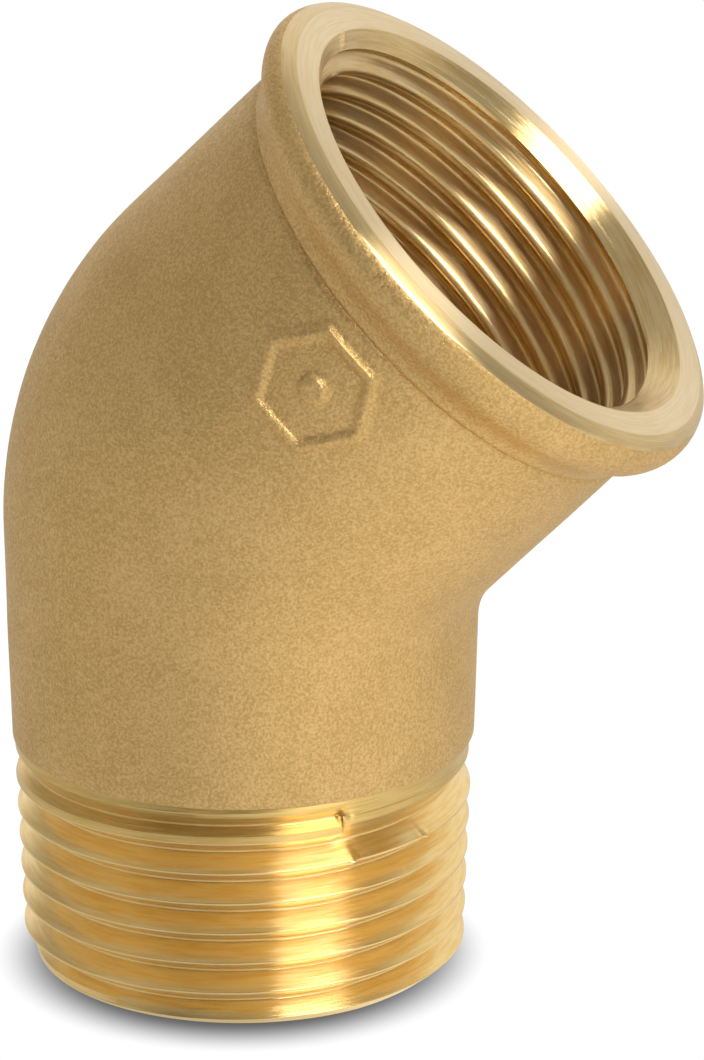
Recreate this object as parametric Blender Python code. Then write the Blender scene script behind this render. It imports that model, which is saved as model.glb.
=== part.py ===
"""Size 1 brass 45 degree street elbow, cast and machined in one piece.

The lower end carries a right-hand 1 inch taper pipe thread outside. The upper end is a collared socket
with a right-hand 1 inch parallel pipe thread inside. The shape is drawn in a construction frame, in
metres: the two thread axes cross at the origin, the male axis runs down -Z, and the socket's axis rises
at 45 degrees in the XZ plane, towards +X. The finished piece then stands on Z = 0, on the flat end of
its male thread, with the middle of its bounding box over the origin.

A ring angle of 0 points to the inside of the bend, 90 degrees is +Y and 180 degrees is the outside.
"""
import math

import bmesh
import bpy
from mathutils import Vector

MM = 0.001

# Lengths of the two legs, from the crossing of the axes.
MALE_LEG = 37.3 * MM
SOCKET_LEG = 27.7 * MM
BEND_ANGLE = math.radians(45)

# 55 degree pipe thread, 11 turns to the inch.
PITCH = 25.4 * MM / 11
FLANK_ANGLE = math.radians(27.5)
THREAD_DEPTH = 0.640327 * PITCH
THREAD_FLAT = PITCH / 6
GAUGE_RADIUS = 33.249 * MM / 2
GAUGE_LENGTH = 8.1 * MM
TAPER = 1 / 32
MALE_THREAD_LENGTH = 16.9 * MM
MALE_CREST_HEIGHT = 14.7 * MM
MALE_RUNOUT_ANGLE = math.radians(-44)
SOCKET_CREST_DEPTH = 1.48 * MM
SOCKET_THREAD_DEPTH = 16.4 * MM
RUNOUT_TURNS = 1.0

# Cast body. The male leg flares a little towards the bend, the socket leg narrows from it.
THREAD_TOP_RADIUS = 17.0 * MM
MALE_BEND_RADIUS = 17.2 * MM
SOCKET_BEND_RADIUS = 18.7 * MM
SOCKET_BODY_RADIUS = 18.5 * MM
INNER_FILLET = 6.0 * MM
OUTER_SWEEP = 31.9 * MM

# Collar, measured back from the socket's face. The rim leans back on the inside of the bend and forward
# on the outside, by the same amount.
CROWN_RADIUS = 20.35 * MM
CROWN_DEPTH = 1.75 * MM
CROWN_FALL = 0.4 * MM
COLLAR_SHOULDER = 3.2 * MM
COLLAR_REAR = 5.5 * MM
COLLAR_LEAN = 0.45 * MM
FACE_CHAMFER = 0.5 * MM

# Machined face, socket, passage and male end.
FACE_RADIUS = 19.1 * MM
FACE_INNER_RADIUS = 17.05 * MM
COUNTERSINK_SLOPE = math.radians(45)
SOCKET_RADIUS = GAUGE_RADIUS - THREAD_DEPTH
SOCKET_DEPTH = 18.0 * MM
SHOULDER_LENGTH = 1.2 * MM
PASSAGE_RADIUS = 13.0 * MM
PASSAGE_BEND = 14.0 * MM
END_CHAMFER = 0.85 * MM
CAST_STEP = 0.15 * MM

# Faceting.
SEGMENTS = 40
BEND_RINGS = 12
PASSAGE_RINGS = 8
FILLET_RINGS = 4
CROWN_RINGS = 4
CUTTER_CLEARANCE = 0.2 * MM
SHARP_ANGLE = math.radians(30)

BRASS_COLOUR = (0.62, 0.45, 0.20, 1.0)
BRASS_ROUGHNESS = 0.45

SOCKET_AXIS = Vector((math.sin(BEND_ANGLE), 0, math.cos(BEND_ANGLE)))
SOCKET_INWARD = Vector((math.cos(BEND_ANGLE), 0, -math.sin(BEND_ANGLE)))
UP = Vector((0, 0, 1))
ACROSS = Vector((0, 1, 0))
RIGHT = Vector((1, 0, 0))


def clear_scene():
    for item in list(bpy.data.objects):
        bpy.data.objects.remove(item)


def brass():
    material = bpy.data.materials.new("brass")
    material.use_nodes = True
    shader = material.node_tree.nodes["Principled BSDF"]
    shader.inputs["Base Color"].default_value = BRASS_COLOUR
    shader.inputs["Roughness"].default_value = BRASS_ROUGHNESS
    shader.inputs["Metallic"].default_value = 1.0
    return material


def crest_radius(height):
    """Radius over the male thread's crests, at a height above the male end."""
    return GAUGE_RADIUS + TAPER * (height - GAUGE_LENGTH)


def ring(centre, inward, width, breadth):
    """Points of an ellipse: width along inward, the direction to the inside of the bend, breadth in Y."""
    points = []
    for i in range(SEGMENTS):
        angle = 2 * math.pi * i / SEGMENTS
        points.append(centre + inward * (width * math.cos(angle)) + ACROSS * (breadth * math.sin(angle)))
    return points


def male_ring(height, radius):
    """Circle on the male axis, at a height above the male end."""
    return ring(UP * (height - MALE_LEG), RIGHT, radius, radius)


def socket_ring(depth, radius, lean=0):
    """Circle on the socket's axis, at a depth behind its face. It leans back on the inside of the bend."""
    inward = SOCKET_INWARD - SOCKET_AXIS * (lean / radius)
    return ring(SOCKET_AXIS * (SOCKET_LEG - depth), inward, radius, radius)


def inner_pivot():
    """Centre of the small fillet in the inside corner, where the planes of the bend's rings meet."""
    x = MALE_BEND_RADIUS + INNER_FILLET
    z = x - (SOCKET_BEND_RADIUS + INNER_FILLET) / math.sin(BEND_ANGLE)
    return Vector((x, 0, z))


def outer_reach(pivot, angle):
    """Distance from the pivot to the outside of the bend, in the ring plane turned by angle.

    The outside is an arc that touches the male leg's outer line and the socket leg's outer line.
    """
    x = OUTER_SWEEP - MALE_BEND_RADIUS
    z = x - (OUTER_SWEEP - SOCKET_BEND_RADIUS) / math.sin(BEND_ANGLE)
    arc_centre = Vector((x, 0, z))
    outward = Vector((-math.cos(angle), 0, math.sin(angle)))
    to_male_line = (pivot.x + MALE_BEND_RADIUS) / math.cos(angle)
    if (pivot + outward * to_male_line).z <= arc_centre.z:
        return to_male_line
    socket_side = BEND_ANGLE - angle
    to_socket_line = (INNER_FILLET + 2 * SOCKET_BEND_RADIUS) / math.cos(socket_side)
    if (pivot + outward * to_socket_line).dot(SOCKET_AXIS) >= arc_centre.dot(SOCKET_AXIS):
        return to_socket_line
    gap = pivot - arc_centre
    along = gap.dot(outward)
    return math.sqrt(along * along - gap.length_squared + OUTER_SWEEP ** 2) - along


def bend_rings():
    """The cast bend: ellipses in planes that turn about the inside corner."""
    pivot = inner_pivot()
    rings = []
    for i in range(BEND_RINGS + 1):
        share = i / BEND_RINGS
        angle = BEND_ANGLE * share
        outward = Vector((-math.cos(angle), 0, math.sin(angle)))
        far = outer_reach(pivot, angle)
        blend = share * share * (3 - 2 * share)
        breadth = MALE_BEND_RADIUS + (SOCKET_BEND_RADIUS - MALE_BEND_RADIUS) * blend
        centre = pivot + outward * ((far + INNER_FILLET) / 2)
        rings.append(ring(centre, -outward, (far - INNER_FILLET) / 2, breadth))
    return rings


def crown(depth):
    """Radius of the collar's rounded rim, at a depth behind the face."""
    reach = (depth - CROWN_DEPTH) / (CROWN_DEPTH - FACE_CHAMFER)
    return CROWN_RADIUS - CROWN_FALL * reach * reach


def collar_rings():
    """From the body's fillet behind the collar to the flat face."""
    rings = []
    rise = crown(COLLAR_SHOULDER) - SOCKET_BODY_RADIUS
    for i in range(FILLET_RINGS):
        share = i / FILLET_RINGS
        depth = COLLAR_REAR + (COLLAR_SHOULDER - COLLAR_REAR) * share
        radius = SOCKET_BODY_RADIUS + rise * (1 - math.cos(share * math.pi / 2))
        rings.append(socket_ring(depth, radius, COLLAR_LEAN))
    for i in range(CROWN_RINGS + 1):
        share = i / CROWN_RINGS
        depth = COLLAR_SHOULDER + (FACE_CHAMFER - COLLAR_SHOULDER) * share
        rings.append(socket_ring(depth, crown(depth), COLLAR_LEAN * (1 - share)))
    rings.append(socket_ring(0, FACE_RADIUS))
    return rings


def passage_bend_rings():
    """The bent waterway, from the socket leg down to the male leg."""
    tangent = PASSAGE_BEND * math.tan(BEND_ANGLE / 2)
    rings = []
    for i in range(PASSAGE_RINGS, -1, -1):
        angle = BEND_ANGLE * i / PASSAGE_RINGS
        inward = Vector((math.cos(angle), 0, -math.sin(angle)))
        centre = Vector((PASSAGE_BEND, 0, -tangent)) - inward * PASSAGE_BEND
        rings.append(ring(centre, inward, PASSAGE_RADIUS, PASSAGE_RADIUS))
    return rings


def elbow_mesh():
    """One closed loop of rings: up the outside, in through the socket and down the passage."""
    countersink = (FACE_INNER_RADIUS - SOCKET_RADIUS) / math.tan(COUNTERSINK_SLOPE)
    rings = [
        male_ring(0, crest_radius(0) - END_CHAMFER),
        male_ring(END_CHAMFER, crest_radius(END_CHAMFER)),
        male_ring(MALE_THREAD_LENGTH, crest_radius(MALE_THREAD_LENGTH)),
        male_ring(MALE_THREAD_LENGTH + CAST_STEP, THREAD_TOP_RADIUS),
    ]
    rings += bend_rings()
    rings += collar_rings()
    rings += [
        socket_ring(0, FACE_INNER_RADIUS),
        socket_ring(countersink, SOCKET_RADIUS),
        socket_ring(SOCKET_DEPTH, SOCKET_RADIUS),
        socket_ring(SOCKET_DEPTH + SHOULDER_LENGTH, PASSAGE_RADIUS),
    ]
    rings += passage_bend_rings()
    rings.append(male_ring(0, PASSAGE_RADIUS))
    return bridged(rings, "elbow_body", closed=True)


def bridged(rings, name, closed):
    """A mesh with quads between neighbouring rings. An open run of rings is capped at both ends."""
    mesh = bmesh.new()
    loops = [[mesh.verts.new(point) for point in points] for points in rings]
    count = len(loops[0])
    for i in range(len(loops) if closed else len(loops) - 1):
        lower = loops[i]
        upper = loops[(i + 1) % len(loops)]
        for j in range(count):
            k = (j + 1) % count
            mesh.faces.new((lower[j], lower[k], upper[k], upper[j]))
    if not closed:
        mesh.faces.new(loops[0])
        mesh.faces.new(loops[-1])
    bmesh.ops.recalc_face_normals(mesh, faces=mesh.faces)
    data = bpy.data.meshes.new(name)
    mesh.to_mesh(data)
    mesh.free()
    return data


def groove_section(centre, radial, axial, crest, side):
    """Four corners of the thread groove. side is -1 for a groove cut inwards, 1 for one cut outwards.

    A flat root and a flat crest stand for the rounded ones of the 55 degree form.
    """
    root_half = THREAD_FLAT / 2
    mouth_half = root_half + (THREAD_DEPTH + CUTTER_CLEARANCE) * math.tan(FLANK_ANGLE)
    root = radial * (crest + side * THREAD_DEPTH)
    mouth = radial * (crest - side * CUTTER_CLEARANCE)
    return [
        centre + root - axial * root_half,
        centre + root + axial * root_half,
        centre + mouth + axial * mouth_half,
        centre + mouth - axial * mouth_half,
    ]


def run_out(turns_left):
    """How far the tool has left the work, as it retracts over the last turns."""
    share = max(0, 1 - turns_left / RUNOUT_TURNS)
    return share * (THREAD_DEPTH + CUTTER_CLEARANCE / 2)


def turn_count(start, end):
    return int(round(abs(end - start) / PITCH * SEGMENTS))


def male_thread_cutter():
    """Right-hand groove that climbs from below the male end and runs out under the cast body."""
    groove = MALE_CREST_HEIGHT - PITCH / 2
    top = groove + PITCH * (1 + MALE_RUNOUT_ANGLE / (2 * math.pi))
    steps = turn_count(-PITCH, top)
    sections = []
    for i in range(steps + 1):
        turns_left = (steps - i) / SEGMENTS
        angle = MALE_RUNOUT_ANGLE - 2 * math.pi * turns_left
        height = top - PITCH * turns_left
        radial = RIGHT * math.cos(angle) + ACROSS * math.sin(angle)
        crest = crest_radius(height) + run_out(turns_left)
        sections.append(groove_section(UP * (height - MALE_LEG), radial, UP, crest, -1))
    return bridged(sections, "male_thread_groove", closed=False)


def socket_thread_cutter():
    """Right-hand groove that enters at the socket's face and runs out before the socket's floor."""
    steps = turn_count(-PITCH, SOCKET_THREAD_DEPTH)
    sections = []
    for i in range(steps + 1):
        turns = i / SEGMENTS
        depth = PITCH * (turns - 1)
        angle = 2 * math.pi * ((SOCKET_CREST_DEPTH + PITCH / 2) / PITCH - turns)
        radial = SOCKET_INWARD * math.cos(angle) + ACROSS * math.sin(angle)
        crest = SOCKET_RADIUS - run_out((steps - i) / SEGMENTS)
        centre = SOCKET_AXIS * (SOCKET_LEG - depth)
        sections.append(groove_section(centre, radial, SOCKET_AXIS, crest, 1))
    return bridged(sections, "socket_thread_groove", closed=False)


def place(mesh, location):
    item = bpy.data.objects.new(mesh.name, mesh)
    item.location = location
    bpy.context.scene.collection.objects.link(item)
    return item


def cut(body, cutter):
    cutter.hide_render = True
    cutter.display_type = "WIRE"
    modifier = body.modifiers.new(cutter.name, "BOOLEAN")
    modifier.operation = "DIFFERENCE"
    modifier.solver = "EXACT"
    modifier.object = cutter


def standing_place(mesh):
    """Moves the male end to Z = 0 and the middle of the mesh's width over the origin."""
    across = [vertex.co.x for vertex in mesh.vertices]
    return Vector((-(min(across) + max(across)) / 2, 0, MALE_LEG))


def build():
    clear_scene()
    mesh = elbow_mesh()
    mesh.materials.append(brass())
    mesh.shade_smooth()
    mesh.set_sharp_from_angle(angle=SHARP_ANGLE)
    location = standing_place(mesh)
    body = place(mesh, location)
    cut(body, place(male_thread_cutter(), location))
    cut(body, place(socket_thread_cutter(), location))


build()
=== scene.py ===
"""Looks of the size 1 brass 45 degree street elbow.

One fine mesh stands for the CAD body: the cast skin with its raised mark, the turned collar face, the male
thread with its torn run-out, the tapped socket and the waterway. Lengths are in millimetres until the mesh
is written.

The two thread axes cross at the crossing point. The male axis runs down from it, and the socket's axis
rises at 45 degrees towards +X. A ring angle of 0 points to the inside of the bend, 90 degrees is +Y and
180 degrees is the outside. The camera stands on the -Y side.
"""

import math

import bpy
import numpy as np
from mathutils import Matrix, Vector, noise


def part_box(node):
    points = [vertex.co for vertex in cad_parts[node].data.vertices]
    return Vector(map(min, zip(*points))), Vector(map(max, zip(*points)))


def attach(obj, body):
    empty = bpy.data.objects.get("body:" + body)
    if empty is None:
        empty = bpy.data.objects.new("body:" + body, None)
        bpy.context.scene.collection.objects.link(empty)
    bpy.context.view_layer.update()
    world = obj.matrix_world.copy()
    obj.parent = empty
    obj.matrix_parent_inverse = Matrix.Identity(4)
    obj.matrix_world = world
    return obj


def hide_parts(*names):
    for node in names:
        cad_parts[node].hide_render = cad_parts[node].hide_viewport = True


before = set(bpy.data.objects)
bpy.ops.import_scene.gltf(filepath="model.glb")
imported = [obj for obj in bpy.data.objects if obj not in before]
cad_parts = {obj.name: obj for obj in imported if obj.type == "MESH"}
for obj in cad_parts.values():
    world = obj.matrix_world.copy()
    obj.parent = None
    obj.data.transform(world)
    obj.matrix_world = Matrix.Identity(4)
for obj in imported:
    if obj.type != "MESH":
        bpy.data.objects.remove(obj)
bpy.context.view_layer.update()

MM = 0.001

# Legs, from the crossing of the axes.
MALE_LEG = 37.3
SOCKET_LEG = 27.7
BEND = math.radians(45)

# 1 inch pipe thread, 11 turns to the inch. The gauge radius is over the male crests.
PITCH = 25.4 / 11
THREAD_DEPTH = 0.640327 * PITCH
GAUGE_RADIUS = 33.249 / 2
GAUGE_LENGTH = 8.1
TAPER = 1 / 32
MALE_THREAD_LENGTH = 16.9
MALE_CREST_HEIGHT = 14.7
MALE_RUNOUT_ANGLE = math.radians(-44)
MALE_RUNOUT_LIFT = 0.9
SOCKET_CREST_DEPTH = 1.48
SOCKET_THREAD_DEPTH = 16.4
RUNOUT_TURNS = 1.0
END_CHAMFER = 0.85

# Form of each thread: flank angle, depth, half the flat of the root, the root's radius, the crest's radius.
# The male thread is cut sharp. The socket's is tapped a little shallow, and round.
MALE_DEPTH = 1.56
MALE_FORM = (math.radians(32), MALE_DEPTH, 0.04, 0.12, 0.06)
SOCKET_FORM = (math.radians(27.5), 1.2, 0.0, 0.437, 0.437)
SOCKET_CREST_CLEARANCE = 0.14

# Places of the rows within each rounding of a thread, from its flat end (0) to its flank end (1).
MALE_ARC_SHARES = (0, 0.35, 0.7, 1)
SOCKET_ARC_SHARES = (0.3, 0.65, 1)

# The male groove's last turn slopes up to the cast body. One turn above it the die leaves a shallow trace.
RUNOUT_SLOPE = math.radians(35)
TRACE_DEPTH = 0.30

# Torn spots on the male thread: ring angle in degrees, height above the male end, reach, relief outwards.
TORN_SPOTS = (
    (-43.6, 15.75, 0.30, -0.40),
    (-43.0, 15.25, 0.25, -0.30),
    (-44.8, 15.10, 0.20, 0.20),
    (-41.8, 12.12, 0.26, 0.18),
    (-40.9, 12.16, 0.20, 0.14),
    (-17.6, 12.28, 0.22, 0.22),
    (-20.1, 12.24, 0.18, 0.12),
)
TORN_GRAIN = 0.3
TORN_ROUGHNESS = 1.5
TORN_LEAST_SHARE = 0.02

# Cast body.
THREAD_TOP_RADIUS = 17.0
CAST_STEP = 0.15
MALE_BEND_RADIUS = 17.2
SOCKET_BEND_RADIUS = 18.7
SOCKET_BODY_RADIUS = 18.5
INNER_FILLET = 6.0
OUTER_SWEEP = 31.9
CAST_WAVE = 0.05
CAST_WAVE_LENGTH = 7.0

# Collar, measured back from the socket's face. A fine crease runs round behind it.
CROWN_RADIUS = 20.35
CROWN_DEPTH = 1.75
CROWN_FALL = 0.4
COLLAR_SHOULDER = 3.2
COLLAR_REAR = 5.5
COLLAR_LEAN = 0.45
CREASE_WIDTH = 0.25
CREASE_DEPTH = 0.18
FACE_CHAMFER = 0.5
FACE_RADIUS = 19.1
FACE_INNER_RADIUS = 17.05
BROKEN_EDGE = 0.07

# Socket and waterway.
COUNTERSINK_SLOPE = math.radians(45)
SOCKET_RADIUS = GAUGE_RADIUS - THREAD_DEPTH
SOCKET_DEPTH = 18.0
SHOULDER_LENGTH = 1.2
PASSAGE_RADIUS = 13.0
PASSAGE_BEND = 14.0
BORE_EDGE = 0.3

# Raised mark on the camera's side of the socket leg: a plain hexagon outline round a dot.
MARK_DEPTH = 10.9
MARK_ANGLE = math.radians(-88)
MARK_HALF_WIDTH = 3.7
MARK_STROKE = 0.75
MARK_DOT_RADIUS = 1.0
MARK_RELIEF = 0.35
MARK_RAMP = 0.35

# Columns round the axis, in degrees: closer together on the camera's side.
FINE_START = -105
FINE_END = -12
FINE_STEP = 0.75
WIDE_STEP = 3.0

# Steps of the rows along each stretch.
MALE_LEG_STEPS = 8
BEND_STEPS = 36
SOCKET_LEG_STEPS = 55
FILLET_STEPS = 16
CROWN_STEPS = 12
FLOOR_STEPS = 5
PASSAGE_STEPS = 12

# Points on the same step of the weld distance become one. Edges sharper than the sharp angle stay crisp.
WELD = 1e-4
HAIR = 1e-9
SHARP_ANGLE = math.radians(38)

# Surfaces, in the order of the materials.
CAST = 0
THREAD = 1
RUNOUT = 2
# Turned brass made darker and less golden: a slightly duller finish, with painted shade for the chamfer,
# countersink and socket.
DULL_AND_SHADED = 3
FACE = 4


def columns():
    """Ring angles from -180 to 180 degrees. The last closes on the first."""
    left = np.arange(-180, FINE_START, WIDE_STEP)
    fine = np.arange(FINE_START, FINE_END, FINE_STEP)
    right = np.arange(FINE_END, 180 + WIDE_STEP / 2, WIDE_STEP)
    return np.radians(np.concatenate([left, fine, right]))


THETA = columns()
ACROSS = np.array([0.0, 1.0, 0.0])
UP = np.array([0.0, 0.0, 1.0])
RIGHT = np.array([1.0, 0.0, 0.0])
SOCKET_AXIS = np.array([math.sin(BEND), 0, math.cos(BEND)])
SOCKET_INWARD = np.array([math.cos(BEND), 0, -math.sin(BEND)])


def ring(centre, inward, width, breadth):
    """Points round a centre: width along inward, the way to the inside of the bend, and breadth in Y."""
    reach = np.outer(width * np.cos(THETA), inward) + np.outer(breadth * np.sin(THETA), ACROSS)
    return centre + reach


def round_male(height, radius):
    """Points round the male axis. height above the male end and radius may differ from column to column."""
    return ring(np.outer(height - MALE_LEG, UP), RIGHT, radius, radius)


def round_socket(depth, radius, lean=0):
    """Points round the socket's axis, at a depth behind its face. They lean back on the inside."""
    back = depth + lean * np.cos(THETA)
    return ring(np.outer(SOCKET_LEG - back, SOCKET_AXIS), SOCKET_INWARD, radius, radius)


class Skin:
    """Rows of points up the outside, in through the socket and down the waterway."""

    def __init__(self):
        self.points = []
        self.turning = []
        self.turns = []
        self.surface = []

    def add(self, points, surface, turning=0.0, turns=0.0):
        """Adds a row.

        surface is that of the faces from this row to the next. turning is a distance across the tool marks,
        and turns counts along a thread.
        """
        self.points.append(np.broadcast_to(points, (len(THETA), 3)))
        self.turning.append(np.broadcast_to(turning, THETA.shape))
        self.turns.append(np.broadcast_to(turns, THETA.shape))
        self.surface.append(surface)


def corner_places(form):
    """Distances from a groove's centre, in order outwards.

    They are where the root's rounding starts, where its sharp corner would be, where its rounding ends, and
    where the crest's rounding starts and ends.
    """
    flank, depth, root_flat, root_round, crest_round = form
    tangent = math.tan((math.pi / 2 - flank) / 2)
    root_corner = root_flat + root_round * tangent
    crest_corner = root_corner + depth * math.tan(flank)
    root_end = root_corner + root_round * tangent * math.sin(flank)
    crest_start = crest_corner - crest_round * tangent * math.sin(flank)
    return root_flat, root_corner, root_end, crest_start, crest_corner + crest_round * tangent


def groove_depth(offset, form):
    """Depth of the rounded thread form at an axial offset from a groove's centre."""
    away = np.abs(offset)
    root_start, root_corner, root_end, crest_start, crest_end = corner_places(form)
    flank_angle, full, _, root_round, crest_round = form
    into_root = np.clip(away - root_start, 0, root_end - root_start)
    root = full - root_round + np.sqrt(root_round ** 2 - into_root ** 2)
    flank = full - (away - root_corner) / math.tan(flank_angle)
    to_crest = np.clip(crest_end - away, 0, crest_end - crest_start)
    crest = crest_round - np.sqrt(crest_round ** 2 - to_crest ** 2)
    return np.where(away < root_end, root, np.where(away < crest_start, flank, crest))


def cut_depth(along, first_groove, last_groove, lift, form):
    """Depth of the thread at a distance along the axis. The tool lifts out over the last turn.

    first_groove is the place of some groove at each column, and last_groove the place where the cut ends.
    """
    depth = np.zeros_like(THETA)
    nearest = np.round((along - first_groove) / PITCH)
    for step in (-1, 0, 1):
        groove = first_groove + (nearest + step) * PITCH
        turns_left = (last_groove - groove) / PITCH
        lifted = np.clip(1 - turns_left / RUNOUT_TURNS, 0, 1) * lift
        cut = np.where(turns_left >= -HAIR, groove_depth(along - groove, form) - lifted, 0)
        depth = np.maximum(depth, cut)
    return depth


def runout_depth(height, groove, last_groove):
    """Depth above the male groove's last turn, and of the trace one turn above it."""
    groove = groove + np.floor((last_groove - groove) / PITCH + HAIR) * PITCH
    lifted = np.clip(1 - (last_groove - groove) / PITCH, 0, 1) * MALE_RUNOUT_LIFT
    slope = MALE_DEPTH - lifted - (height - groove) * math.tan(RUNOUT_SLOPE)
    trace = TRACE_DEPTH * (1 - np.abs(height - groove - PITCH) / (PITCH / 2))
    return np.maximum(np.where(height > groove, slope, 0), trace)


def thread_rows(form, arc_shares):
    """Offsets of the rows in one pitch, from a crest's middle to just short of the next one's."""
    root_start, _, root_end, crest_start, crest_end = corner_places(form)
    away = [PITCH / 2]
    away += [crest_end + (crest_start - crest_end) * share for share in arc_shares]
    away += [(crest_start + root_end) / 2]
    away += [root_start + (root_end - root_start) * share for share in reversed(arc_shares)]
    rise = [PITCH / 2 - place for place in away] + [PITCH / 2]
    return rise + [PITCH - place for place in rise[-2:0:-1]]


def torn(height):
    """Ragged relief of the torn spots on the male thread at each column."""
    relief = np.zeros_like(THETA)
    for angle, spot_height, reach, amount in TORN_SPOTS:
        around = (THETA - math.radians(angle)) * GAUGE_RADIUS
        share = np.exp(-(around ** 2 + (height - spot_height) ** 2) / reach ** 2)
        for column in np.flatnonzero(share > TORN_LEAST_SHARE):
            place = Vector((around[column], height[column], spot_height)) / TORN_GRAIN
            relief[column] += amount * share[column] * (1 + TORN_ROUGHNESS * noise.noise(place))
    return relief


def male_radius(height):
    """Radius of the threaded end at each column."""
    groove = MALE_CREST_HEIGHT - PITCH / 2 + PITCH * THETA / (2 * math.pi)
    last = MALE_CREST_HEIGHT + PITCH / 2 + PITCH * MALE_RUNOUT_ANGLE / (2 * math.pi)
    crest = GAUGE_RADIUS + TAPER * (height - GAUGE_LENGTH)
    cut = cut_depth(height, groove, last, MALE_RUNOUT_LIFT, MALE_FORM)
    cut = np.maximum(cut, runout_depth(height, groove, last))
    thread = crest - cut + torn(height)
    end = GAUGE_RADIUS - TAPER * GAUGE_LENGTH - END_CHAMFER
    return np.minimum(thread, end + height)


def socket_radius(depth):
    """Radius of the threaded hole at each column, with its countersink."""
    groove = SOCKET_CREST_DEPTH + PITCH / 2 - PITCH * THETA / (2 * math.pi)
    crest = SOCKET_RADIUS + SOCKET_CREST_CLEARANCE
    thread = crest + cut_depth(depth, groove, SOCKET_THREAD_DEPTH, THREAD_DEPTH, SOCKET_FORM)
    return np.maximum(thread, FACE_INNER_RADIUS - depth * math.tan(COUNTERSINK_SLOPE))


def add_male_thread(skin):
    """Rows follow the helix and stop at the end face and at the cast body."""
    climb = PITCH * THETA / (2 * math.pi)
    first = -math.ceil((MALE_CREST_HEIGHT + PITCH) / PITCH)
    last = math.ceil((MALE_THREAD_LENGTH - MALE_CREST_HEIGHT + PITCH) / PITCH)
    for turn in range(first, last):
        for offset in thread_rows(MALE_FORM, MALE_ARC_SHARES):
            height = MALE_CREST_HEIGHT + turn * PITCH + offset + climb
            height = np.clip(height, 0, MALE_THREAD_LENGTH)
            points = round_male(height, male_radius(height))
            surface = THREAD if turn < 0 else RUNOUT
            skin.add(points, surface, offset, turn + THETA / (2 * math.pi))


def add_socket_thread(skin):
    """Rows follow the helix from the face to the socket's floor."""
    climb = PITCH * THETA / (2 * math.pi)
    first = -math.ceil((SOCKET_CREST_DEPTH + PITCH) / PITCH)
    last = math.ceil((SOCKET_DEPTH - SOCKET_CREST_DEPTH + PITCH) / PITCH)
    for turn in range(first, last):
        for offset in thread_rows(SOCKET_FORM, SOCKET_ARC_SHARES):
            depth = np.clip(SOCKET_CREST_DEPTH + turn * PITCH + offset - climb, 0, SOCKET_DEPTH)
            points = round_socket(depth, socket_radius(depth))
            skin.add(points, DULL_AND_SHADED, offset, turn - THETA / (2 * math.pi))


def inner_pivot():
    """Centre of the small fillet in the inside corner, where the planes of the bend's rings meet."""
    x = MALE_BEND_RADIUS + INNER_FILLET
    z = x - (SOCKET_BEND_RADIUS + INNER_FILLET) / math.sin(BEND)
    return np.array([x, 0, z])


def outer_reach(pivot, angle):
    """Distance from the pivot to the outside of the bend, in the ring plane turned by angle.

    The outside is an arc that touches the male leg's outer line and the socket leg's outer line.
    """
    x = OUTER_SWEEP - MALE_BEND_RADIUS
    arc_centre = np.array([x, 0, x - (OUTER_SWEEP - SOCKET_BEND_RADIUS) / math.sin(BEND)])
    outward = np.array([-math.cos(angle), 0, math.sin(angle)])
    to_male_line = (pivot[0] + MALE_BEND_RADIUS) / math.cos(angle)
    if (pivot + outward * to_male_line)[2] <= arc_centre[2]:
        return to_male_line
    to_socket_line = (INNER_FILLET + 2 * SOCKET_BEND_RADIUS) / math.cos(BEND - angle)
    if (pivot + outward * to_socket_line) @ SOCKET_AXIS >= arc_centre @ SOCKET_AXIS:
        return to_socket_line
    gap = pivot - arc_centre
    along = gap @ outward
    return math.sqrt(along * along - gap @ gap + OUTER_SWEEP ** 2) - along


def smooth_step(share):
    """0 up to a share of 0, 1 from a share of 1, and an S curve between."""
    share = np.clip(share, 0, 1)
    return share * share * (3 - 2 * share)


def crease(depth):
    """Depth of the fine crease where the collar rises from the socket leg."""
    return CREASE_DEPTH * smooth_step(1 - abs(depth - COLLAR_REAR) / CREASE_WIDTH)


def raised_mark(depth):
    """Height of the hexagon and its dot over the socket leg, at each column."""
    along = abs(depth - MARK_DEPTH)
    across = np.abs(THETA - MARK_ANGLE) * SOCKET_BODY_RADIUS
    corner_side = along * math.cos(math.radians(60)) + across * math.sin(math.radians(60))
    outline = np.abs(np.maximum(along, corner_side) - MARK_HALF_WIDTH) - MARK_STROKE / 2
    dot = np.hypot(across, along) - MARK_DOT_RADIUS
    return MARK_RELIEF * smooth_step(0.5 - np.minimum(outline, dot) / MARK_RAMP)


def uneven(points):
    """The cast skin's slow unevenness, moved out or in from the row's middle."""
    middle = points.mean(axis=0)
    moved = np.array(points)
    for i, point in enumerate(points):
        outward = (point - middle) / np.linalg.norm(point - middle)
        moved[i] += outward * CAST_WAVE * noise.noise(Vector(point / CAST_WAVE_LENGTH))
    return moved


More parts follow.
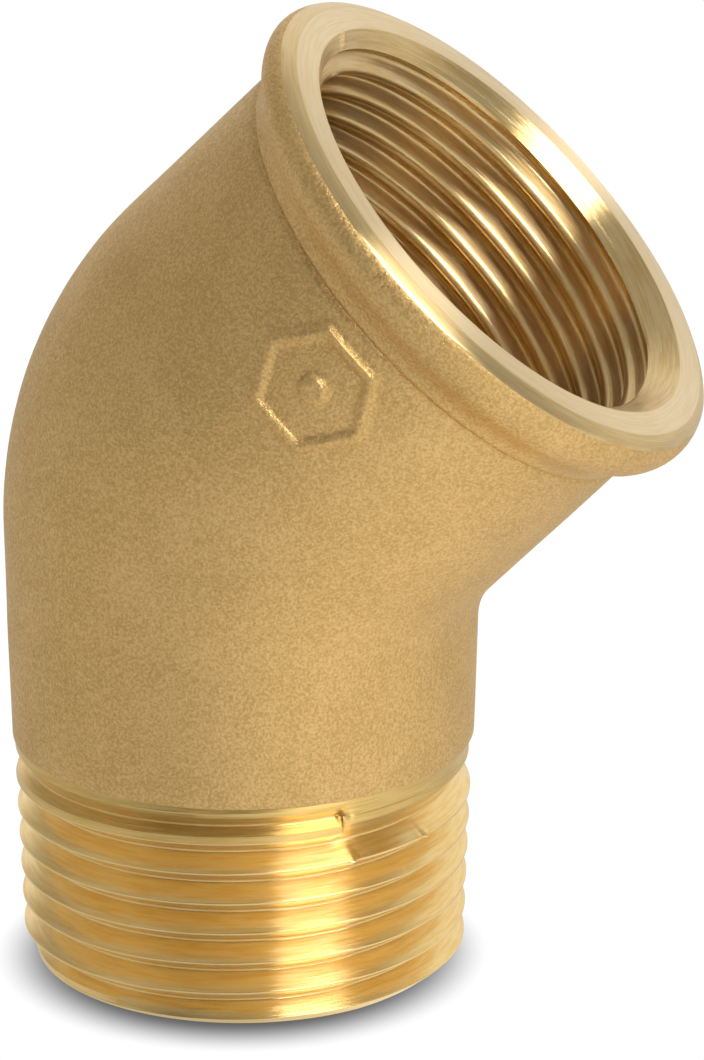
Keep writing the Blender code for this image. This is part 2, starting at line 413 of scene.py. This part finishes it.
def add_cast_body(skin):
    """From the thread's top to the collar's fillet."""
    bend_height = MALE_LEG + inner_pivot()[2]
    for height in np.linspace(MALE_THREAD_LENGTH + CAST_STEP, bend_height, MALE_LEG_STEPS + 1)[:-1]:
        share = (height - MALE_THREAD_LENGTH) / (bend_height - MALE_THREAD_LENGTH)
        radius = THREAD_TOP_RADIUS + (MALE_BEND_RADIUS - THREAD_TOP_RADIUS) * share
        skin.add(uneven(round_male(height, radius)), CAST)
    for share in np.linspace(0, 1, BEND_STEPS + 1)[:-1]:
        angle = BEND * share
        outward = np.array([-math.cos(angle), 0, math.sin(angle)])
        far = outer_reach(inner_pivot(), angle)
        breadth = MALE_BEND_RADIUS + (SOCKET_BEND_RADIUS - MALE_BEND_RADIUS) * smooth_step(share)
        centre = inner_pivot() + outward * (far + INNER_FILLET) / 2
        skin.add(uneven(ring(centre, -outward, (far - INNER_FILLET) / 2, breadth)), CAST)
    bend_depth = SOCKET_LEG - inner_pivot() @ SOCKET_AXIS
    for depth in np.linspace(bend_depth, COLLAR_REAR, SOCKET_LEG_STEPS + 1)[:-1]:
        share = (bend_depth - depth) / (bend_depth - COLLAR_REAR)
        radius = SOCKET_BEND_RADIUS + (SOCKET_BODY_RADIUS - SOCKET_BEND_RADIUS) * share
        radius = radius + raised_mark(depth) - crease(depth)
        points = round_socket(depth, radius, COLLAR_LEAN * share)
        skin.add(uneven(points), CAST)


def crown(depth):
    """Radius of the collar's rounded rim, at a depth behind the face."""
    reach = (depth - CROWN_DEPTH) / (CROWN_DEPTH - FACE_CHAMFER)
    return CROWN_RADIUS - CROWN_FALL * reach * reach


def add_collar(skin):
    """The cast fillet and rim behind the turned chamfer."""
    rise = crown(COLLAR_SHOULDER) - SOCKET_BODY_RADIUS
    for share in np.linspace(0, 1, FILLET_STEPS + 1)[:-1]:
        depth = COLLAR_REAR + (COLLAR_SHOULDER - COLLAR_REAR) * share
        radius = SOCKET_BODY_RADIUS + rise * (1 - math.cos(share * math.pi / 2))
        skin.add(uneven(round_socket(depth, radius - crease(depth), COLLAR_LEAN)), CAST)
    front = FACE_CHAMFER + BROKEN_EDGE
    for share in np.linspace(0, 1, CROWN_STEPS + 1)[:-1]:
        depth = COLLAR_SHOULDER + (front - COLLAR_SHOULDER) * share
        skin.add(uneven(round_socket(depth, crown(depth), COLLAR_LEAN * (1 - share))), CAST)
    skin.add(round_socket(front, crown(front)), DULL_AND_SHADED)


def add_face(skin):
    """The turned chamfer and flat face, with small broken edges."""
    rim = crown(FACE_CHAMFER)
    slope = (rim - FACE_RADIUS) / FACE_CHAMFER
    profile = [
        (FACE_CHAMFER - BROKEN_EDGE, rim - BROKEN_EDGE * slope, DULL_AND_SHADED),
        (BROKEN_EDGE / 2, FACE_RADIUS + BROKEN_EDGE * slope / 2, DULL_AND_SHADED),
        (0, FACE_RADIUS - BROKEN_EDGE, FACE),
        (0, FACE_INNER_RADIUS + BROKEN_EDGE, DULL_AND_SHADED),
    ]
    turning = 0
    for depth, radius, surface in profile:
        skin.add(round_socket(depth, radius), surface, turning)
        turning += FACE_RADIUS - FACE_INNER_RADIUS


def add_waterway(skin):
    """From the socket's floor down the bent passage to the male end."""
    for share in np.linspace(0, 1, FLOOR_STEPS + 1)[1:]:
        radius = SOCKET_RADIUS + (PASSAGE_RADIUS - SOCKET_RADIUS) * smooth_step(share)
        skin.add(round_socket(SOCKET_DEPTH + SHOULDER_LENGTH * share, radius), DULL_AND_SHADED, share)
    tangent = PASSAGE_BEND * math.tan(BEND / 2)
    for share in np.linspace(1, 0, PASSAGE_STEPS + 1):
        angle = BEND * share
        inward = np.array([math.cos(angle), 0, -math.sin(angle)])
        centre = np.array([PASSAGE_BEND, 0, -tangent]) - inward * PASSAGE_BEND
        skin.add(ring(centre, inward, PASSAGE_RADIUS, PASSAGE_RADIUS), CAST)
    skin.add(round_male(BORE_EDGE, PASSAGE_RADIUS), THREAD)
    skin.add(round_male(0, PASSAGE_RADIUS + BORE_EDGE), THREAD, 1)


def elbow_skin():
    """All rows, in order round the section. The last row closes on the first."""
    skin = Skin()
    add_male_thread(skin)
    skin.add(round_male(MALE_THREAD_LENGTH, THREAD_TOP_RADIUS - BROKEN_EDGE), CAST)
    add_cast_body(skin)
    add_collar(skin)
    add_face(skin)
    add_socket_thread(skin)
    add_waterway(skin)
    return skin


def row_frame_origin():
    """The crossing of the axes in the row frame.

    The low corner of the CAD's box lies on the male leg's outer line and on the plane of its end.
    """
    low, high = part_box("elbow_body")
    return np.array([low.x / MM + MALE_BEND_RADIUS, (low.y + high.y) / 2 / MM, low.z / MM + MALE_LEG])


def weld(points):
    """Points that meet, at the closing column and where a helix stops, become one.

    Gives the vertices, and the number of the vertex at each row and column.
    """
    flat = points.reshape(-1, 3)
    keys = np.round((flat + WELD / 8) / WELD).astype(np.int64)
    _, first, number = np.unique(keys, axis=0, return_index=True, return_inverse=True)
    return flat[first], number.reshape(points.shape[:2])


def skin_faces(number):
    """Faces between each row and the next, as a row and column per corner. Corners that meet count once."""
    rows, count = number.shape
    faces = []
    for row in range(rows):
        above = (row + 1) % rows
        for column in range(count - 1):
            cell = ((row, column), (row, column + 1), (above, column + 1), (above, column))
            corners = {}
            for corner in cell:
                corners.setdefault(number[corner], corner)
            if len(corners) > 2:
                faces.append(list(corners.values()))
    return faces


def elbow_mesh(skin):
    """One closed mesh, with a material and tool marks for each face."""
    vertices, number = weld(np.array(skin.points))
    faces = skin_faces(number)
    data = bpy.data.meshes.new("elbow")
    polygons = [[int(number[corner]) for corner in face] for face in faces]
    data.from_pydata(((vertices + row_frame_origin()) * MM).tolist(), [], polygons)
    data.polygons.foreach_set("material_index", [skin.surface[face[0][0]] for face in faces])
    corner_row, corner_column = np.array([corner for face in faces for corner in face]).T
    add_tool_marks(data, skin, corner_row, corner_column)
    data.shade_smooth()
    data.set_sharp_from_angle(angle=SHARP_ANGLE)
    return data


def add_tool_marks(data, skin, corner_row, corner_column):
    """Where each face corner lies on the lathe, how far along the thread, and which way the hoop runs."""
    turning = np.array(skin.turning)[corner_row, corner_column]
    turns = np.array(skin.turns)[corner_row, corner_column]
    angle = THETA[corner_column]
    place = np.stack([np.cos(angle), np.sin(angle), turning], axis=1)
    lathe = data.attributes.new("lathe", "FLOAT_VECTOR", "CORNER")
    lathe.data.foreach_set("vector", place.astype(np.float32).ravel())
    turn = data.attributes.new("turn", "FLOAT", "CORNER")
    turn.data.foreach_set("value", turns.astype(np.float32))
    points = np.array(skin.points)
    ahead = np.roll(points[:, :-1], -1, axis=1) - np.roll(points[:, :-1], 1, axis=1)
    ahead = np.concatenate([ahead, ahead[:, :1]], axis=1)
    ahead = ahead[corner_row, corner_column]
    ahead /= np.linalg.norm(ahead, axis=1)[:, None]
    hoop = data.attributes.new("hoop", "FLOAT_VECTOR", "CORNER")
    hoop.data.foreach_set("vector", ahead.astype(np.float32).ravel())


class Nodes:
    """Short calls to make and join the nodes of one tree."""

    def __init__(self, tree):
        self.tree = tree
        tree.nodes.clear()

    def new(self, kind, inputs=None, **settings):
        node = self.tree.nodes.new(kind)
        for name, value in settings.items():
            setattr(node, name, value)
        for name, value in (inputs or {}).items():
            if isinstance(value, bpy.types.NodeSocket):
                self.tree.links.new(value, node.inputs[name])
            else:
                node.inputs[name].default_value = value
        return node

    def math(self, operation, first, second=0.0):
        return self.new("ShaderNodeMath", {0: first, 1: second}, operation=operation).outputs[0]

    def vector(self, operation, first, second=(0, 0, 0)):
        node = self.new("ShaderNodeVectorMath", {0: first, 1: second}, operation=operation)
        return node.outputs["Value" if operation in ("DOT_PRODUCT", "DISTANCE") else "Vector"]

    def scaled(self, direction, factor):
        inputs = {0: direction, "Scale": factor}
        return self.new("ShaderNodeVectorMath", inputs, operation="SCALE").outputs["Vector"]

    def spread(self, value, low, high, to_low=0.0, to_high=1.0):
        """value between low and high becomes to_low to to_high, along an S curve."""
        inputs = {"Value": value, "From Min": low, "From Max": high, "To Min": to_low, "To Max": to_high}
        return self.new("ShaderNodeMapRange", inputs, interpolation_type="SMOOTHSTEP").outputs["Result"]

    def noise(self, place, scale, detail=2.0, roughness=0.5, along=None):
        inputs = {"Vector": place, "Scale": scale, "Detail": detail, "Roughness": roughness}
        if along is not None:
            inputs["W"] = along
        node = self.new("ShaderNodeTexNoise", inputs, noise_dimensions="3D" if along is None else "4D")
        return node.outputs["Fac"]

    def mix(self, share, first, second):
        """Colour between first and second."""
        node = self.new("ShaderNodeMix", {"Factor": share}, data_type="RGBA")
        for socket, value in ((node.inputs[6], first), (node.inputs[7], second)):
            if isinstance(value, bpy.types.NodeSocket):
                self.tree.links.new(value, socket)
            else:
                socket.default_value = value
        return node.outputs[2]

    def bump(self, height, distance, strength=1.0, normal=None):
        inputs = {"Height": height, "Distance": distance, "Strength": strength}
        if normal is not None:
            inputs["Normal"] = normal
        return self.new("ShaderNodeBump", inputs).outputs["Normal"]

    def surface(self, shader):
        world = isinstance(self.tree.id_data, bpy.types.World)
        kind = "ShaderNodeOutputWorld" if world else "ShaderNodeOutputMaterial"
        self.new(kind, {"Surface": shader})


# Cast skin. Noise scales are per metre, and the relief is in metres.
CAST_COLOUR = (0.82, 0.555, 0.235, 1)
CAST_DARK = (0.62, 0.405, 0.145, 1)
GRAIN_SCALE = 4800
PIT_SCALE = 1900
CLOUD_SCALE = 220
CAST_RELIEF = 0.00009
CAST_SMOOTHEST = 0.46
CAST_ROUGHEST = 0.60

# Turned surfaces, in the order of their numbers: name, colour, colour of the dark streaks, roughness, and
# how far the tool's ridges lean across the cut and along it.
TURNED_SURFACES = (
    ("thread_brass", (1.00, 0.74, 0.33, 1), (0.93, 0.63, 0.22, 1), 0.32, 0.5, 0.14),
    ("runout_brass", (0.89, 0.62, 0.23, 1), (0.77, 0.51, 0.15, 1), 0.40, 0.5, 0.14),
    # Darker and less golden than the thread brass: partly a duller finish, partly painted shade.
    ("dull_and_shaded_brass", (0.83, 0.62, 0.31, 1), (0.73, 0.50, 0.20, 1), 0.34, 0.4, 0.10),
    ("face_brass", (0.88, 0.70, 0.42, 1), (0.84, 0.62, 0.33, 1), 0.36, 0.0, 0.08),
)

# Scales of the tool marks' noise: two for the place round the lathe, and one per millimetre across the cut.
# The relief is in metres. A share of the light comes off as bright as from a polished face.
FINE_MARKS = (3.0, 3.0, 12.0)
RIDGES = (4.0, 4.0, 40.0)
STREAKS = (5.0, 5.0, 7.0)
TOOL_RELIEF = 0.00003
BRIGHT_SHARE = 0.4
BRIGHT_SMOOTHEST = 0.12
BRIGHT_ROUGHEST = 0.20


def new_material(name):
    material = bpy.data.materials.new(name)
    material.use_nodes = True
    return material, Nodes(material.node_tree)


def cast_brass():
    """Sandy casting skin: fine grain and pits, with slow cloudiness in the colour."""
    material, nodes = new_material("cast_brass")
    place = nodes.new("ShaderNodeTexCoord").outputs["Object"]
    grain = nodes.noise(place, GRAIN_SCALE, 2.0, 0.65)
    pits = nodes.noise(place, PIT_SCALE, 2.0, 0.6)
    clouds = nodes.noise(place, CLOUD_SCALE, 3.0, 0.55)
    height = nodes.math("ADD", nodes.math("MULTIPLY", grain, 0.5), nodes.math("MULTIPLY", pits, 0.9))
    tone = nodes.math("ADD", nodes.math("MULTIPLY", grain, 0.8), nodes.math("MULTIPLY", clouds, 0.2))
    colour = nodes.mix(nodes.spread(tone, 0.36, 0.64), CAST_DARK, CAST_COLOUR)
    shader = nodes.new("ShaderNodeBsdfPrincipled", {
        "Base Color": colour,
        "Metallic": 1.0,
        "Roughness": nodes.spread(pits, 0.3, 0.7, CAST_SMOOTHEST, CAST_ROUGHEST),
        "Normal": nodes.bump(height, CAST_RELIEF, 0.9),
    })
    nodes.surface(shader.outputs[0])
    return material


def turned_brass(name, colour, dark, roughness, ridge_tilt, streak_tilt):
    """Machined brass, with fine ridges along the cut that spread the light across it."""
    material, nodes = new_material(name)
    lathe = nodes.new("ShaderNodeAttribute", attribute_name="lathe").outputs["Vector"]
    turn = nodes.new("ShaderNodeAttribute", attribute_name="turn").outputs["Fac"]
    hoop = nodes.new("ShaderNodeAttribute", attribute_name="hoop").outputs["Vector"]
    normal = nodes.new("ShaderNodeNewGeometry").outputs["Normal"]
    across = nodes.vector("CROSS_PRODUCT", hoop, normal)
    fine = nodes.noise(nodes.vector("MULTIPLY", lathe, FINE_MARKS), 1.0, 3.0, 0.6, along=turn)
    ridges = nodes.noise(nodes.vector("MULTIPLY", lathe, RIDGES), 1.0, 1.0, 0.5, along=turn)
    streaks = nodes.noise(nodes.vector("MULTIPLY", lathe, STREAKS), 1.0, 3.0, 0.6, along=turn)
    tint = nodes.mix(nodes.spread(streaks, 0.35, 0.60), dark, colour)
    lean = nodes.math("MULTIPLY", nodes.math("SUBTRACT", ridges, 0.5), ridge_tilt)
    tilt = nodes.math("MULTIPLY", nodes.math("SUBTRACT", fine, 0.5), streak_tilt)
    leaning = nodes.vector("ADD", nodes.scaled(across, lean), nodes.scaled(hoop, tilt))
    normal = nodes.vector("NORMALIZE", nodes.vector("ADD", normal, leaning))
    normal = nodes.bump(fine, TOOL_RELIEF, 0.3, normal)
    brushed = nodes.new("ShaderNodeBsdfPrincipled", {
        "Base Color": tint,
        "Metallic": 1.0,
        "Roughness": roughness,
        "Anisotropic": 1.0,
        "Tangent": across,
        "Normal": normal,
    })
    bright = nodes.new("ShaderNodeBsdfPrincipled", {
        "Base Color": tint,
        "Metallic": 1.0,
        "Roughness": nodes.spread(fine, 0.3, 0.7, BRIGHT_SMOOTHEST, BRIGHT_ROUGHEST),
        "Normal": normal,
    })
    inputs = {0: BRIGHT_SHARE, 1: brushed.outputs[0], 2: bright.outputs[0]}
    nodes.surface(nodes.new("ShaderNodeMixShader", inputs).outputs[0])
    return material


def build_elbow():
    piece = bpy.data.objects.new("elbow", elbow_mesh(elbow_skin()))
    bpy.context.scene.collection.objects.link(piece)
    piece.data.materials.append(cast_brass())
    for settings in TURNED_SURFACES:
        piece.data.materials.append(turned_brass(*settings))
    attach(piece, "root")
    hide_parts("elbow_body")


WHITE = (1, 1, 1, 1)

# Floor, with its size in metres. The shadow's sizes are in millimetres, its middle is shifted from the male
# axis towards the shadow's azimuth, and azimuths are in degrees.
FLOOR_SIZE = 6.0
FLOOR_TONE = 1.02
SHADOW_AZIMUTH = 75
SHADOW_SHIFT = 2.2
SHADOW_START = 13.1
SHADOW_END = 18.8
SHADOW_TONE = 0.12

# Light that the floor sends to the brass: most about one azimuth, least away from it.
FLOOR_GLOW_AZIMUTH = 28
FLOOR_GLOW_START = 0.2
FLOOR_GLOW_LEAST = 0.64
FLOOR_GLOW_MOST = 0.98

# Room. The ceiling starts and ends at sines of elevation.
ROOM_LIGHT = 0.12
CEILING_LIGHT = 0.42
CEILING_START = 0.6
CEILING_END = 0.95

# Panels of light: azimuth, half width, soft edge, bottom and top elevation in degrees, then strength.
PANELS = {
    "back_wall": (-85, 50, 50, -30, 60, 0.80),
    "softbox": (30, 20, 3, 27, 57, 8.0),
    "under_the_softbox": (31, 16, 3, -5, 27, 0.40),
    "left_wall": (165, 35, 40, -30, 60, 0.30),
    "far_left_corner": (-150, 20, 30, -30, 15, 0.35),
    "right_wall": (0, 20, 30, -30, 30, 0.16),
}

# Camera, in radians, metres and, for the lens, millimetres. Side, rise and distance are measured in its own
# frame, from the crossing of the axes.
CAMERA_AZIMUTH = math.radians(19.675)
CAMERA_ELEVATION = math.radians(17.761)
CAMERA_ROLL = math.radians(0.077)
CAMERA_DISTANCE = 0.29446
CAMERA_SIDE = 7.98 * MM
CAMERA_RISE = -5.04 * MM
CAMERA_LENS = 138.39
CAMERA_NEAR = 0.01


def build_floor():
    """White floor that fills the picture. It darkens only where the fitting stands close over it."""
    mesh = bpy.data.meshes.new("floor")
    half = FLOOR_SIZE / 2
    corners = [(-half, -half, 0), (half, -half, 0), (half, half, 0), (-half, half, 0)]
    mesh.from_pydata(corners, [], [(0, 1, 2, 3)])
    mesh.materials.append(floor_glow())
    floor = bpy.data.objects.new("floor", mesh)
    bpy.context.scene.collection.objects.link(floor)


def floor_glow():
    """The camera sees white with a soft shadow round the male end. The brass sees a light from one side."""
    material, nodes = new_material("floor")
    place = nodes.new("ShaderNodeTexCoord").outputs["Object"]
    forward = Vector(level(SHADOW_AZIMUTH)) * SHADOW_SHIFT * MM
    middle = Vector((row_frame_origin()[0] * MM, row_frame_origin()[1] * MM, 0)) + forward
    away = nodes.vector("DISTANCE", place, middle)
    shown = nodes.spread(away, SHADOW_START * MM, SHADOW_END * MM, SHADOW_TONE, FLOOR_TONE)
    facing = nodes.vector("DOT_PRODUCT", nodes.vector("NORMALIZE", place), level(FLOOR_GLOW_AZIMUTH))
    sent = nodes.spread(facing, FLOOR_GLOW_START, 1.0, FLOOR_GLOW_LEAST, FLOOR_GLOW_MOST)
    seen = nodes.new("ShaderNodeLightPath").outputs["Is Camera Ray"]
    shown = nodes.math("MULTIPLY", shown, seen)
    sent = nodes.math("MULTIPLY", sent, nodes.math("SUBTRACT", 1.0, seen))
    strength = nodes.math("ADD", shown, sent)
    nodes.surface(nodes.new("ShaderNodeEmission", {"Color": WHITE, "Strength": strength}).outputs[0])
    return material


def level(azimuth):
    """Horizontal direction at an azimuth: 0 is +X and 90 degrees is -Y, towards the camera's side."""
    angle = math.radians(azimuth)
    return (math.cos(angle), -math.sin(angle), 0)


def sine(elevation):
    return math.sin(math.radians(elevation))


def cosine(angle):
    return math.cos(math.radians(angle))


def panel(nodes, flat, height, settings):
    """Light of one panel, from the level part of the way looked and the sine of its elevation."""
    azimuth, half_width, blur, bottom, top, strength = settings
    soft = blur / 2
    facing = nodes.vector("DOT_PRODUCT", flat, level(azimuth))
    beside = nodes.spread(facing, cosine(half_width + soft), cosine(half_width - soft))
    over = nodes.spread(height, sine(bottom - soft), sine(bottom + soft))
    under = nodes.spread(height, sine(top + soft), sine(top - soft))
    window = nodes.math("MULTIPLY", over, under)
    return nodes.math("MULTIPLY", nodes.math("MULTIPLY", beside, window), strength)


def build_studio():
    """A dim room with a lighter ceiling and walls, and a small bright softbox. The camera sees it white."""
    world = bpy.data.worlds.new("studio")
    bpy.context.scene.world = world
    world.use_nodes = True
    nodes = Nodes(world.node_tree)
    way = nodes.new("ShaderNodeTexCoord").outputs["Generated"]
    flat = nodes.vector("NORMALIZE", nodes.vector("MULTIPLY", way, (1, 1, 0)))
    height = nodes.new("ShaderNodeSeparateXYZ", {0: way}).outputs["Z"]
    light = nodes.spread(height, CEILING_START, CEILING_END, ROOM_LIGHT, CEILING_LIGHT)
    for settings in PANELS.values():
        light = nodes.math("ADD", light, panel(nodes, flat, height, settings))
    seen = nodes.new("ShaderNodeLightPath").outputs["Is Camera Ray"]
    light = nodes.math("MAXIMUM", light, seen)
    nodes.surface(nodes.new("ShaderNodeBackground", {"Color": WHITE, "Strength": light}).outputs[0])


def build_camera():
    """The camera looks down a little from the right of the front, from close by."""
    back = Vector((
        math.sin(CAMERA_AZIMUTH) * math.cos(CAMERA_ELEVATION),
        -math.cos(CAMERA_AZIMUTH) * math.cos(CAMERA_ELEVATION),
        math.sin(CAMERA_ELEVATION),
    ))
    right = Vector((math.cos(CAMERA_AZIMUTH), math.sin(CAMERA_AZIMUTH), 0))
    up = back.cross(right)
    turn = Matrix((right, up, back)).transposed() @ Matrix.Rotation(CAMERA_ROLL, 3, "Z")
    camera = bpy.data.objects.new("camera", bpy.data.cameras.new("camera"))
    camera.data.lens = CAMERA_LENS
    camera.data.clip_start = CAMERA_NEAR
    place = Vector(row_frame_origin() * MM) + turn @ Vector((CAMERA_SIDE, CAMERA_RISE, CAMERA_DISTANCE))
    camera.matrix_world = Matrix.Translation(place) @ turn.to_4x4()
    bpy.context.scene.collection.objects.link(camera)
    bpy.context.scene.camera = camera


build_elbow()
build_floor()
build_studio()
build_camera()
bpy.context.scene.view_settings.view_transform = "Standard"
